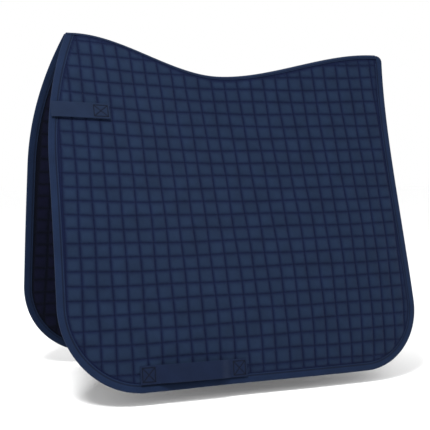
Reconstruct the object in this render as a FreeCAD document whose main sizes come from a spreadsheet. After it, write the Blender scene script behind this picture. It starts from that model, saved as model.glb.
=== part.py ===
import FreeCAD, Part

import math
import os

import Sketcher
from FreeCAD import Placement, Rotation, Vector

# Quilted dressage saddle pad. +X points to the horse's tail, +Z up, and the near (left) side
# is on -Y. The origin lies on the ridge at its lowest point, where the pad rests on the back.

doc = FreeCAD.newDocument("saddle_pad")
sheet = doc.addObject("Spreadsheet::Sheet", "sizes")

SIZES = {
    # side outline, millimetres
    "front_reach": 320.0,
    "rear_reach": 326.0,
    "rear_taper": 8.0,
    "flap_drop": 505.0,
    "wither_rise": 65.0,
    "wither_run": 260.0,
    "croup_rise": 48.0,
    "croup_run": 300.0,
    "front_bow_radius": 515.0,
    "front_bow_start": 150.0,
    "front_corner_radius": 135.0,
    "rear_corner_radius": 110.0,
    "ridge_corner_radius": 12.0,
    # half width of the tent, lining face to centre plane, at three levels under the ridge
    "level_step": 187.0,
    "ridge_gap": 2.0,
    "front_upper": 89.0,
    "front_middle": 136.0,
    "front_lower": 180.0,
    "saddle_upper": 58.0,
    "saddle_middle": 128.0,
    "saddle_lower": 168.0,
    "croup_upper": 37.0,
    "croup_middle": 93.0,
    "croup_lower": 131.0,
    # the layers, all measured across the pad
    "lining_thickness": 0.8,
    "foam_thickness": 5.2,
    "cover_thickness": 0.9,
    "layer_gap": 0.3,
    # edge binding and spine tapes
    "binding_width": 14.0,
    "binding_thickness": 0.9,
    "binding_edge": 1.3,
    "spine_tape_drop": 13.0,
    "spine_tape_thickness": 0.9,
    "spine_tape_front": 271.0,
    "spine_tape_rear": 305.0,
    "lining_tape_drop": 16.0,
    # the level where each side folds away from the yoke
    "fold_level": 112.0,
    "fold_slit": 10.0,
    # hook and loop strap at the upper front
    "strap_width": 26.5,
    "strap_low_edge": 77.0,
    "strap_fall": 2.8,
    "strap_rear_end": 213.0,
    "strap_tab_length": 31.0,
    "strap_tongue_length": 67.5,
    "strap_end_gap": 0.6,
    "webbing_thickness": 1.8,
    "touch_tape_thickness": 0.7,
    "touch_tape_length": 34.0,
    "touch_tape_width": 22.0,
    # girth loop near the bottom edge
    "loop_width": 29.0,
    "loop_low_edge": 491.5,
    "loop_front_end": 196.5,
    "loop_length": 184.0,
    "loop_tab_length": 28.0,
    "loop_ramp_length": 20.0,
    "loop_stand_off": 10.0,
    # stitched box with a cross
    "stitch_inset": 3.5,
    "stitch_width": 1.0,
    "stitch_height": 0.4,
}

for row, (alias, value) in enumerate(SIZES.items(), 1):
    sheet.set(f"A{row}", alias)
    sheet.set(f"B{row}", str(value))
    sheet.setAlias(f"B{row}", alias)
doc.recompute()


def size(alias):
    """The sheet's value for a size."""
    return float(sheet.get(alias))


LAYER_GAP = size("layer_gap")
FOAM_START = size("lining_thickness") + LAYER_GAP
COVER_START = FOAM_START + size("foam_thickness") + LAYER_GAP
PANEL_THICKNESS = COVER_START + size("cover_thickness")
BINDING_REACH = LAYER_GAP + size("binding_thickness")
FOLD_Z = -size("fold_level")
FAR = 700.0


def ridge_height(x):
    """Height of the ridge: a smooth step up to the wither in front and to the croup behind."""
    rise, run = ("wither_rise", "wither_run") if x < 0 else ("croup_rise", "croup_run")
    share = min(abs(x) / size(run), 1.0)
    return size(rise) * share * share * (3 - 2 * share)


def across(level, x):
    """Half width at one level: a parabola through its front, saddle and croup values."""
    front, saddle, croup = (size(f"{place}_{level}") for place in ("front", "saddle", "croup"))
    share = x / size("front_reach")
    return saddle + share * (croup - front) / 2 + share * share * ((front + croup) / 2 - saddle)


def half_width(x, height):
    """Half width of the tent's lining face: a cubic in depth through its four levels."""
    steps = (ridge_height(x) - height) / size("level_step")
    top = size("ridge_gap")
    upper, middle, lower = (across(level, x) for level in ("upper", "middle", "lower"))
    first = upper - top
    second = middle - 2 * upper + top
    third = lower - 3 * middle + 3 * upper - top
    return (
        top
        + steps * first
        + steps * (steps - 1) / 2 * second
        + steps * (steps - 1) * (steps - 2) / 6 * third
    )


def near_point(x, height, offset=0.0):
    """A point of the near side, offset outwards from its lining face."""
    return Vector(x, -half_width(x, height) - offset, height)


def near_slab(start, end):
    """The near side's whole surface as a slab between two offsets from the lining face."""
    grid = []
    for x in range(-350, 351, 50):
        top = ridge_height(x) + 20
        grid.append([near_point(x, top - 80 * step, start) for step in range(9)])
    surface = Part.BSplineSurface()
    surface.interpolate(grid)
    return surface.toShape().extrude(Vector(0, start - end, 0))


def ridge_curve(lift, front, rear):
    """The ridge line, lifted by a height, from a front x to a rear x."""
    steps = 24
    stations = [front + (rear - front) * step / steps for step in range(steps + 1)]
    curve = Part.BSplineCurve()
    curve.interpolate([Vector(x, 0, ridge_height(x) + lift) for x in stations])
    return curve.toShape()


def arc(centre, radius, start, end):
    """An arc in the side plane, its angles in degrees from +X towards +Z."""
    spots = []
    for angle in (start, (start + end) / 2, end):
        turn = math.radians(angle)
        spots.append(centre + Vector(radius * math.cos(turn), 0, radius * math.sin(turn)))
    return Part.Arc(*spots).toShape()


def line(start, end):
    return Part.LineSegment(start, end).toShape()


def outline(inset, to_ridge=True):
    """A side's outline, inset from its three free edges; open upwards if not to the ridge."""
    front = -size("front_reach")
    rear = size("rear_reach")
    bottom = -size("flap_drop") + inset
    top = size("wither_rise") if to_ridge else size("wither_rise") + 40
    bow = size("front_bow_radius")
    bow_centre = Vector(front + bow, 0, -size("front_bow_start"))
    bow_angle = math.degrees(math.asin((top - bow_centre.z) / (bow - inset)))
    front_radius = size("front_corner_radius")
    front_centre = Vector(front + front_radius, 0, -size("flap_drop") + front_radius)
    rear_radius = size("rear_corner_radius")
    rear_centre = Vector(rear - rear_radius, 0, -size("flap_drop") + rear_radius)
    rear_top = rear - size("rear_taper") - inset

    front_bow = arc(bow_centre, bow - inset, 180 - bow_angle, 180)
    front_edge = line(
        Vector(front + inset, 0, bow_centre.z), Vector(front + inset, 0, front_centre.z)
    )
    front_corner = arc(front_centre, front_radius - inset, 180, 270)
    bottom_edge = line(Vector(front_centre.x, 0, bottom), Vector(rear_centre.x, 0, bottom))
    rear_corner = arc(rear_centre, rear_radius - inset, 270, 360)
    edges = [front_bow, front_edge, front_corner, bottom_edge, rear_corner]
    rear_foot = Vector(rear - inset, 0, rear_centre.z)
    start = front_bow.Vertexes[0].Point
    if to_ridge:
        radius = size("ridge_corner_radius") - inset
        centre = Vector(rear_top - radius, 0, size("croup_rise") - radius)
        edges.append(line(rear_foot, centre + Vector(radius, 0, 0)))
        edges.append(arc(centre, radius, 0, 90))
        edges.append(ridge_curve(0, start.x, centre.x))
    else:
        edges.append(line(rear_foot, Vector(rear_top, 0, top)))
        edges.append(line(Vector(rear_top, 0, top), start))
    return prism(edges)


def prism(edges):
    """A closed side outline carried across the near half of the pad."""
    wire = Part.Wire(Part.__sortEdges__(edges))
    face = Part.Face(wire)
    face.translate(Vector(0, 60, 0))
    return face.extrude(Vector(0, -FAR, 0))


def ridge_band(low, high, front, rear):
    """A band that follows the ridge, between two heights over it."""
    lower = ridge_curve(low, front, rear)
    upper = ridge_curve(high, front, rear)
    ends = [
        line(lower.valueAt(lower.FirstParameter), upper.valueAt(upper.FirstParameter)),
        line(lower.valueAt(lower.LastParameter), upper.valueAt(upper.LastParameter)),
    ]
    return prism([lower, ends[1], upper, ends[0]])


def above_fold():
    return Part.makeBox(2 * FAR, 2 * FAR, FAR, Vector(-FAR, -FAR, FOLD_Z + size("fold_slit") / 2))


def below_fold():
    return Part.makeBox(
        2 * FAR, 2 * FAR, FAR, Vector(-FAR, -FAR, FOLD_Z - size("fold_slit") / 2 - FAR)
    )


def other_side(shape):
    """The same shape on the off side."""
    return shape.mirror(Vector(0, 0, 0), Vector(0, 1, 0))


def keep(label, shape):
    """Puts a shape into the document as one sub-part."""
    solids = shape.Solids
    part = doc.addObject("Part::Feature", label)
    part.Label = label
    part.Shape = solids[0] if len(solids) == 1 else Part.makeCompound(solids)
    part.Placement = Placement()
    sub_parts.append(part)


def keep_both(name, shape):
    keep(f"near_{name}", shape)
    keep(f"off_{name}", other_side(shape))


sub_parts = []


# ---- the quilted panels: cover, foam and lining, each in its yoke and its flap ----

def quilted_layers():
    panel = outline(size("binding_edge"))
    layers = {
        "lining": (0.0, size("lining_thickness")),
        "foam": (FOAM_START, FOAM_START + size("foam_thickness")),
        "cover": (COVER_START, PANEL_THICKNESS),
    }
    for name, (start, end) in layers.items():
        layer = near_slab(start, end).common(panel)
        keep_both(f"{name}_yoke", layer.common(above_fold()))
        keep_both(f"{name}_flap", layer.common(below_fold()))


# ---- the binding folded over the front, bottom and rear edges ----

def edge_binding():
    folded = near_slab(-BINDING_REACH, PANEL_THICKNESS + BINDING_REACH).common(outline(0.0))
    folded = folded.cut(outline(size("binding_width"), to_ridge=False))
    filling = near_slab(-LAYER_GAP, PANEL_THICKNESS + LAYER_GAP)
    filling = filling.common(outline(size("binding_edge") - LAYER_GAP, to_ridge=False))
    binding = folded.cut(filling)
    keep_both("binding_yoke", binding.common(above_fold()))
    keep_both("binding_flap", binding.common(below_fold()))


# ---- the tape over the spine seam and the tape under it ----

def spine_tapes():
    front = -size("spine_tape_front")
    rear = size("spine_tape_rear")
    start = PANEL_THICKNESS + BINDING_REACH + LAYER_GAP
    end = start + size("spine_tape_thickness")
    top = LAYER_GAP + size("spine_tape_thickness")
    side = near_slab(start, end).common(ridge_band(-size("spine_tape_drop"), top, front, rear))
    half = size("ridge_gap") + (start + end) / 2
    cap_block = Part.makeBox(2 * FAR, 2 * half, 2 * FAR, Vector(-FAR, -half, -FAR))
    band = ridge_band(LAYER_GAP, top, front, rear)
    cap = band.fuse(other_side(band)).common(cap_block)
    keep("spine_tape", side.fuse([other_side(side), cap]).removeSplitter())

    inset = size("binding_width") + 4 * LAYER_GAP
    band = ridge_band(-size("lining_tape_drop"), -LAYER_GAP, front + inset, rear - inset)
    side = near_slab(-LAYER_GAP - size("lining_thickness"), -LAYER_GAP).common(band)
    half = size("ridge_gap") - LAYER_GAP - size("lining_thickness") / 2
    bridge_block = Part.makeBox(2 * FAR, 2 * half, 2 * FAR, Vector(-FAR, -half, -FAR))
    depth = LAYER_GAP + 2 * size("lining_thickness")
    bridge = ridge_band(-depth, -LAYER_GAP, front + inset, rear - inset)
    bridge = bridge.fuse(other_side(bridge)).common(bridge_block)
    keep("spine_lining_tape", side.fuse([other_side(side), bridge]).removeSplitter())


# ---- webbing pieces: flat bodies laid on the panel ----

def seat(front, rear, low, high, clearance, fall):
    """Where a flat piece lies on the near cover: local X backwards along it, Y up the slope
    and Z outwards. Its rear end lies lower by the fall, and its centre is lifted until the
    whole piece clears the curved cover."""
    corner = near_point(front, low, PANEL_THICKNESS)
    along = (near_point(rear, low - fall, PANEL_THICKNESS) - corner).normalize()
    upward = (near_point(front, high, PANEL_THICKNESS) - corner).normalize()
    outward = along.cross(upward).normalize()
    upward = outward.cross(along).normalize()
    if outward.y > 0:
        raise ValueError("the seat faces inwards")
    steps = [step / 6 for step in range(7)]
    cover = [
        near_point(
            front + (rear - front) * back, low - fall * back + (high - low) * up, PANEL_THICKNESS
        )
        for back in steps
        for up in steps
    ]
    bulge = max((spot - corner).dot(outward) for spot in cover)
    return corner, along, upward, outward, bulge + clearance


def placed(frame, along_by, up_by, out_by, off_side=False):
    """The placement of a piece whose own centre is moved along, up and out on its seat."""
    corner, along, upward, outward, lift = frame
    spot = corner + along * along_by + upward * up_by + outward * (lift + out_by)
    if off_side:
        spot, along, upward, outward = (
            Vector(v.x, -v.y, v.z) for v in (spot, -along, upward, outward)
        )
    return Placement(spot, Rotation(along, upward, outward, "ZXY"))


def origin_plane(body, role):
    return next(item for item in body.Origin.OriginFeatures if item.Role == role)


def sketch_outline(body, name, role, outlines):
    """A sketch of closed outlines whose corners are bound to the sheet by expressions."""
    sketch = body.newObject("Sketcher::SketchObject", name)
    sketch.AttachmentSupport = (origin_plane(body, role), [""])
    sketch.MapMode = "FlatFace"
    for corners in outlines:
        spots = [
            Vector(*(float(sheet.evalExpression(place)) for place in corner)) for corner in corners
        ]
        first = sketch.GeometryCount
        count = len(spots)
        for index in range(count):
            sketch.addGeometry(Part.LineSegment(spots[index], spots[(index + 1) % count]))
        for index in range(count):
            following = first + (index + 1) % count
            sketch.addConstraint(
                Sketcher.Constraint("Coincident", first + index, 2, following, 1)
            )
        for index, corner in enumerate(corners):
            for kind, place, value in zip(("DistanceX", "DistanceY"), corner, spots[index]):
                number = sketch.addConstraint(
                    Sketcher.Constraint(kind, -1, 1, first + index, 1, value)
                )
                sketch.setExpression(f"Constraints[{number}]", place)
    return sketch


def padded_body(label, role, outlines, thickness, placement, midplane=False):
    """A body made by padding a sketch by a sheet expression."""
    body = doc.addObject("PartDesign::Body", label)
    body.Label = label
    sketch = sketch_outline(body, f"{label}_outline", role, outlines)
    pad = body.newObject("PartDesign::Pad", f"{label}_pad")
    pad.Profile = sketch
    pad.Length = float(sheet.evalExpression(thickness))
    pad.setExpression("Length", thickness)
    pad.Midplane = midplane
    body.Tip = pad
    body.Placement = placement
    sub_parts.append(body)
    return body


def rectangle(length, width):
    """The corners of a centred rectangle as sheet expressions."""
    return [
        (f"-({length}) / 2", f"-({width}) / 2"),
        (f"({length}) / 2", f"-({width}) / 2"),
        (f"({length}) / 2", f"({width}) / 2"),
        (f"-({length}) / 2", f"({width}) / 2"),
    ]


def box_stitch(centre, length, width):
    """A sewn rectangle with a cross in it: its edge and the four triangles left open."""
    half_length = f"(({length}) / 2 - sizes.stitch_inset)"
    half_breadth = f"(({width}) / 2 - sizes.stitch_inset)"
    thread = "sizes.stitch_width"
    edge = [
        (f"{centre} - {half_length}", f"-{half_breadth}"),
        (f"{centre} + {half_length}", f"-{half_breadth}"),
        (f"{centre} + {half_length}", f"{half_breadth}"),
        (f"{centre} - {half_length}", f"{half_breadth}"),
    ]
    holes = []
    for sign in ("-", "+"):
        other = "+" if sign == "-" else "-"
        holes.append([
            (f"{centre} - {half_length} + 2.2 * {thread}", f"{sign}({half_breadth} - {thread})"),
            (f"{centre} + {half_length} - 2.2 * {thread}", f"{sign}({half_breadth} - {thread})"),
            (f"{centre}", f"{sign}{thread}"),
        ])
        holes.append([
            (f"{centre} {sign} ({half_length} - {thread})", f"-({half_breadth} - 2.2 * {thread})"),
            (f"{centre} {sign} ({half_length} - {thread})", f"{half_breadth} - 2.2 * {thread}"),
            (f"{centre} {sign} {thread}", "0 * sizes.stitch_width"),
        ])
    return [edge] + holes


def upper_straps():
    """The sewn tab, the free tongue hinged at the tab's front end and their touch tapes."""
    low = -size("strap_low_edge")
    high = low + size("strap_width") * math.cos(math.radians(20))
    length = size("strap_tab_length") + size("strap_end_gap") + size("strap_tongue_length")
    rear = -size("strap_rear_end")
    frame = seat(rear - length, rear, low, high, LAYER_GAP, size("strap_fall"))
    doubled = "2 * sizes.webbing_thickness"
    tongue_middle = size("strap_tongue_length") / 2
    tab_middle = length - size("strap_tab_length") / 2
    tape_middle = size("strap_tongue_length") - 4 - size("touch_tape_length") / 2
    up = size("strap_width") / 2
    thickness = size("webbing_thickness")
    tape = size("touch_tape_thickness")
    for side in ("near", "off"):
        off = side == "off"
        padded_body(
            f"{side}_strap_tab", "XY_Plane",
            [rectangle("sizes.strap_tab_length", "sizes.strap_width")], doubled,
            placed(frame, tab_middle, up, 0, off),
        )
        padded_body(
            f"{side}_strap_tongue", "XY_Plane",
            [rectangle("sizes.strap_tongue_length", "sizes.strap_width")],
            "sizes.webbing_thickness", placed(frame, tongue_middle, up, thickness, off),
        )
        padded_body(
            f"{side}_strap_hook_tape", "XY_Plane",
            [rectangle("sizes.touch_tape_length", "sizes.touch_tape_width")],
            "sizes.touch_tape_thickness", placed(frame, tape_middle, up, thickness - tape, off),
        )
        padded_body(
            f"{side}_strap_loop_tape", "XY_Plane",
            [rectangle("sizes.touch_tape_length", "sizes.touch_tape_width")],
            "sizes.touch_tape_thickness", placed(frame, tape_middle, up, 0, off),
        )
        padded_body(
            f"{side}_strap_stitching", "XY_Plane",
            box_stitch("0 * sizes.stitch_width", "sizes.strap_tab_length", "sizes.strap_width"),
            "sizes.stitch_height", placed(frame, tab_middle, up, 2 * thickness, off),
        )
    hinge = frame[0] + frame[1] * (size("strap_tongue_length") + size("strap_end_gap") / 2)
    hinge = hinge + frame[2] * up + frame[3] * (frame[4] + 2 * thickness)
    print("near strap hinge at", [round(v, 3) for v in hinge], "along",
          [round(v, 5) for v in frame[2]])


def girth_loops():
    """Webbing sewn down at both ends, with its middle standing off the flap."""
    low = -size("loop_low_edge")
    high = low + size("loop_width") * math.cos(math.radians(15))
    front = -size("loop_front_end")
    length = size("loop_length")
    frame = seat(front, front + length, low, high, LAYER_GAP, 0.0)
    half = "sizes.loop_length / 2"
    inner = f"({half} - sizes.loop_tab_length)"
    bow = f"({inner} - sizes.loop_ramp_length)"
    rise = "sizes.loop_stand_off"
    web = "sizes.webbing_thickness"
    under = [
        (f"-{half}", "0 * sizes.stitch_width"),
        (f"-{inner}", "0 * sizes.stitch_width"),
        (f"-{bow}", rise),
        (bow, rise),
        (inner, "0 * sizes.stitch_width"),
        (half, "0 * sizes.stitch_width"),
    ]
    over = [
        (half, web),
        (f"{inner} + 0.4 * {web}", web),
        (f"{bow} + 0.4 * {web}", f"{rise} + {web}"),
        (f"-{bow} - 0.4 * {web}", f"{rise} + {web}"),
        (f"-{inner} - 0.4 * {web}", web),
        (f"-{half}", web),
    ]
    tab = "sizes.loop_tab_length"
    tab_centre = f"(sizes.loop_length - {tab}) / 2"
    for side in ("near", "off"):
        off = side == "off"
        padded_body(
            f"{side}_girth_loop", "XZ_Plane", [under + over], "sizes.loop_width",
            placed(frame, length / 2, size("loop_width") / 2, 0, off), midplane=True,
        )
        for end, sign in (("front", "" if off else "-"), ("rear", "-" if off else "")):
            padded_body(
                f"{side}_girth_loop_{end}_stitching", "XY_Plane",
                box_stitch(f"{sign}{tab_centre}", tab, "sizes.loop_width"), "sizes.stitch_height",
                placed(frame, length / 2, size("loop_width") / 2, size("webbing_thickness"), off),
            )


quilted_layers()
edge_binding()
spine_tapes()
upper_straps()
girth_loops()
doc.recompute()

for thing in doc.Objects:
    if "Invalid" in thing.State or "Error" in thing.State:
        raise RuntimeError(f"{thing.Label} failed: {thing.State}")

os.makedirs("parts", exist_ok=True)
for part in sub_parts:
    shape = part.Shape
    if shape.isNull() or not shape.isValid() or not shape.Solids:
        raise RuntimeError(f"{part.Label} has no valid solid")
    shape.exportStep(f"parts/{part.Label}.step")
    print(part.Label, len(shape.Solids), "solids", round(shape.Volume), "mm3")

for place, x in (("front", -size("front_reach")), ("saddle", 0.0), ("rear", size("rear_reach"))):
    outer = near_point(x, FOLD_Z, PANEL_THICKNESS)
    print("fold line at the", place, round(outer.x, 1), round(outer.y, 2), round(outer.z, 1))
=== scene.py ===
"""Quilted dressage saddle pad: covers, linings, foam, binding, tapes, straps, loops and thread."""

import functools
import math

import bpy
import numpy as np
from bpy.props import (
    FloatProperty, FloatVectorProperty, IntProperty, PointerProperty, StringProperty
)
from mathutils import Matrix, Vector


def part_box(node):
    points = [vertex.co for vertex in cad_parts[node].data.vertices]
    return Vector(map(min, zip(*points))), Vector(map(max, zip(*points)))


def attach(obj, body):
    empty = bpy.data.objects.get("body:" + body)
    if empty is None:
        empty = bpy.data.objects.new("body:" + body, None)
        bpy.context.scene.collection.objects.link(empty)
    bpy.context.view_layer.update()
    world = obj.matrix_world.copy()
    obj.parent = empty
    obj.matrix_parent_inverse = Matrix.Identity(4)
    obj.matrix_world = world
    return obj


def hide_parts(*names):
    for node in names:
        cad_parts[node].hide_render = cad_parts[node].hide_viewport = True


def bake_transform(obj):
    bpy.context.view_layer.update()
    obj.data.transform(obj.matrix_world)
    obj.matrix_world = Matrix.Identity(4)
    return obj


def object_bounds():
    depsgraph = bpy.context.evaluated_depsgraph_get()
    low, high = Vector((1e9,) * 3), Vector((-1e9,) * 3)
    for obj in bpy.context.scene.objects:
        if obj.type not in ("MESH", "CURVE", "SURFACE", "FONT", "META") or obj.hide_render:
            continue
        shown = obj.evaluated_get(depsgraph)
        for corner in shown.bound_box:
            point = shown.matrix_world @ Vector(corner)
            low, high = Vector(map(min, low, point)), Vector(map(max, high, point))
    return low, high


bl_info = {
    "name": "Quilted Saddle Pad",
    "version": (1, 0, 0),
    "blender": (4, 5, 0),
    "location": "View3D > Sidebar > Saddle Pad",
    "description": "Builds a quilted dressage saddle pad on its packed frame",
    "category": "Add Mesh",
}

MM = 0.001
# one unit of the weave coordinates, in metres
WEAVE_UNIT = 0.01
# an inset that no edge reaches, where an edge sets no limit
NO_LIMIT = 1.0
# the frame's covers lie between these distances over the lining face
COVER_INSIDE, COVER_OUTSIDE = 6.6 * MM, 7.5 * MM
# depth at which the hanging cloth starts to wave, and over which the waves grow to their full size
WAVES_START, WAVES_GROWTH = 0.15, 0.1
# powers that shape a square's height across it and up it: lower is fuller
BULGE_ACROSS, BULGE_UP = 0.8, 0.7
# share of a seam thread's thickness at which its middle stands over the cloth
THREAD_PROUD = 0.3
# least gap between two cloths or tapes that lie on each other
HAIR = 0.15 * MM
# frames of the cloth simulation, and the heights its squares have to come between
SIM_FRAMES = 20
SIM_LOWEST, SIM_HIGHEST = 1.5 * MM, 6 * MM
# sewing through webbing: depth and width of the dent, and how far the thread lies down in it
DENT_DEPTH, DENT_WIDTH, THREAD_SUNK = 0.6 * MM, 1.1 * MM, 0.45 * MM
# box stitch: a stitch with its gap, the share of that which is thread, and the thread's thickness
BOX_STEP, BOX_SHARE, BOX_THREAD = 2.6 * MM, 0.86, 0.8 * MM
# slopes of a side, in degrees from upright, at the strap and at the girth loop
STRAP_SLOPE, LOOP_SLOPE = 20, 15
# spine tapes: room over the binding and over the cover, the length at each end over the binding
# and that of the step down from it, and the heights of the two tapes' tops over the ridge
CLEAR_BINDING, CLEAR_COVER, BINDING_LENGTH, STEP_LENGTH = 0.2 * MM, 0.4 * MM, 12 * MM, 10 * MM
TAPE_TOP, LINING_TAPE_TOP = 1.6 * MM, -2.2 * MM
# the camera: lens and sensor width in millimetres, place in metres, turn and rise in degrees
CAMERA_LENS, CAMERA_SENSOR = 83.7, 36.0
CAMERA_PLACE, CAMERA_TURN, CAMERA_RISE = (-0.609, -1.656, -0.148), -19.95, 3.03
# the soft lights: name, place in metres, power in watts and width in metres, and their aim
LIGHTS = (
    ("key", (-0.7, -1.1, 0.85), 48.0, 0.45),
    ("fill", (0.6, -1.3, 0.5), 9.0, 1.0),
)
LIGHT_AIM = (0, 0, -0.25)
# half the width of the floor, in metres
FLOOR_REACH = 12.0
# how the sewn lattice is drawn out of square: reach along and up and its middle level in
# metres, then millimetres for the powers (0, 0), (0, 1) ... (3, 0) of the two shares
DRAWN_REACH = (0.32, 0.28, -0.22)
DRAWN_ALONG = (0.9, -7.4, -8.2, -1.9, 7.2, -3.4, -7.7, -2.0, 10.1, -10.1)
DRAWN_UP = (2.8, -4.7, -2.3, 5.3, -1.5, 0.7, 0.2, 4.9, 5.5, -1.0)
SIDES = {"near": -1.0, "off": 1.0}
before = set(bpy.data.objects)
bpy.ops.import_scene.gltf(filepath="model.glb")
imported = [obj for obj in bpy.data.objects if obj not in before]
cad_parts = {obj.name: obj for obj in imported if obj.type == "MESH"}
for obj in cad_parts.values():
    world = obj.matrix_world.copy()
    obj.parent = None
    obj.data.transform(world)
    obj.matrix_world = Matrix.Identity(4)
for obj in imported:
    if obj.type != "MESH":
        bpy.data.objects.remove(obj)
CAD_LOW, CAD_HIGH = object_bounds()
FLAP_LOW, FLAP_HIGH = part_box("near_binding_flap")


# ---------------------------------------------------------------- sizes and colours

def length(name, description, millimetres):
    """A length property whose default is given in millimetres."""
    return FloatProperty(
        name=name, description=description, default=millimetres * MM, unit="LENGTH", precision=4
    )


def three_lengths(name, description, millimetres):
    """A property of three lengths whose defaults are given in millimetres."""
    return FloatVectorProperty(
        name=name, description=description, default=[v * MM for v in millimetres], unit="LENGTH"
    )


def colour(name, description, hex_value):
    """A colour property, written as an sRGB hex value."""
    return StringProperty(name=name, description=description, default=hex_value)


class SaddlePadSizes(bpy.types.PropertyGroup):
    """Sizes of the pad that the frame's boxes do not give."""

    wither_rise: length("Wither rise", "Ridge height at the wither over its lowest point", 65)
    wither_run: length("Wither run", "Distance from the lowest point to the wither's height", 260)
    croup_rise: length("Croup rise", "Ridge height at the back over its lowest point", 48)
    croup_run: length("Croup run", "Distance from the lowest point to the croup's height", 300)
    bow_radius: length("Front bow radius", "Radius of the front edge's upper bow", 515)
    bow_start: length("Front bow start", "Depth at which the front edge starts to bow back", 150)
    front_corner: length("Front corner", "Radius of the bottom front corner", 135)
    rear_corner: length("Rear corner", "Radius of the bottom rear corner", 110)
    ridge_corner: length("Ridge corner", "Radius of the top rear corner", 12)
    rear_taper: length("Rear taper", "How far the rear edge leans forwards at the top", 8)
    level_step: length("Level step", "Depth between the levels of the half widths", 187)
    ridge_gap: length("Ridge gap", "Half width at the ridge", 2)
    front_widths: three_lengths("Front half widths", "At three levels, front", (89, 136, 180))
    saddle_widths: three_lengths("Saddle half widths", "At three levels, middle", (58, 128, 168))
    croup_widths: three_lengths("Croup half widths", "At three levels, rear", (37, 93, 131))
    swell: length("Swell", "How far the hanging cloth waves in and out", 1.3)
    column_pitch: length("Column pitch", "Width of a quilted square", 24.45)
    row_pitch: length("Row pitch", "Height of a quilted square", 21.75)
    first_column: length("First column", "From the front edge to the first seam", 17.5)
    first_row: length("First row", "From the bottom edge to the first seam", 27.2)
    wander: length("Seam wander", "How far a sewn seam strays from its line", 0.6)
    panel_middle: length("Panel middle", "Depth of the foam's middle over the lining face", 3.75)
    panel_edge: length("Panel edge", "How far the quilted cloths stop inside the binding's fold", 1.3)
    cover_crown: length("Cover crown", "Height of a square's crown over the middle", 3.9)
    lining_crown: length("Lining crown", "Height of the lining's crown over the middle", 3.2)
    seam_rise: length("Seam rise", "Height of the cloths over the middle at a seam", 0.85)
    cloth: length("Cloth", "Thickness of the cover and lining cloth", 0.6)
    binding_width: length("Binding width", "Width of the binding on each face", 14)
    binding_half: length("Binding half thickness", "Half the thickness of the bound edge", 2.5)
    binding_seam: length("Binding seam", "From the edge to the binding's stitches", 11.3)
    tape: length("Tape", "Thickness of the binding and the spine tapes", 0.8)
    spine_drop: length("Spine tape drop", "How far the spine tape comes down in front", 2.5)
    spine_widening: length("Spine tape widening", "How much further it comes down at the rear", 3.5)
    lining_drop: length("Lining tape drop", "How far the tape under the spine comes down", 16)
    row_lift: FloatProperty(
        name="Row lift", description="Share of the crown's height left at a row's seam",
        default=0.16, min=0.0, max=1.0, subtype="FACTOR",
    )
    fullness: FloatProperty(
        name="Fullness", description="Power of the squares' height: lower is fuller", default=1.05
    )
    sag: length("Sag", "How far the stuffing of a square hangs down at its crown", 1.6)
    sim_pressure: FloatProperty(name="Pressure", description="Stuffing pressure", default=6.0)
    sim_slack: FloatProperty(name="Slack", description="Spare cloth of a square", default=0.035)
    sim_bending: FloatProperty(name="Bending", description="Bending stiffness", default=3.0)
    sim_scale: FloatProperty(name="Scale", description="Size the cloth is simulated at", default=20.0)
    stitch: length("Stitch", "Length of one quilting stitch", 3.3)
    stitch_gap: length("Stitch gap", "Gap between two quilting stitches", 0.5)
    thread: length("Thread", "Thickness of the sewing thread", 0.6)
    webbing: length("Webbing", "Thickness of the strap and loop webbing", 1.8)
    strap_width: length("Strap width", "Width of the front strap", 26.5)
    strap_length: length("Strap length", "Length of the front strap", 99.1)
    strap_tab: length("Strap tab", "Length of the strap's sewn end", 31)
    strap_rear: length("Strap rear end", "Where the strap ends, in front of the low point", 213)
    strap_depth: length("Strap depth", "Depth of the strap's low edge in front", 77)
    strap_fall: length("Strap fall", "How much lower the strap's rear end lies", 2.8)
    strap_trim: length("Strap trim", "How far the off strap's tip stops short of the edge", 5.5)
    touch_length: length("Touch tape length", "Length of the touch tape", 34)
    touch_width: length("Touch tape width", "Width of the touch tape", 22)
    touch_thick: length("Touch tape thickness", "Thickness of the touch tape", 0.7)
    touch_start: length("Touch tape start", "From the strap's free end to the touch tape", 29.5)
    loop_width: length("Loop width", "Width of the girth loop", 29)
    loop_length: length("Loop length", "Length of the girth loop", 184)
    loop_tab: length("Loop tab", "Length of each sewn end of the girth loop", 28)
    loop_ramp: length("Loop ramp", "Length in which the loop leaves the pad", 24)
    loop_front: length("Loop front end", "Where the loop starts, in front of the low point", 196.5)
    loop_depth: length("Loop depth", "Depth of the loop's low edge in front", 491.5)
    loop_fall: length("Loop fall", "How much lower the loop's rear end lies", 2.6)
    loop_stand_off: length("Loop stand-off", "How far the loop's middle stands off the pad", 10)
    box_inset: length("Box inset", "From the webbing's edges to the box stitch", 3.5)
    fold_start: length("Fold start", "Depth where a side starts to fold", 84)
    fold_end: length("Fold end", "Depth where the fold ends", 142)
    floor_drop: length("Floor drop", "Floor under the lowest edge, clear of the closing flaps", 24)
    divisions: IntProperty(
        name="Divisions", description="Mesh divisions along one side of a square", default=8, min=4
    )


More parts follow.
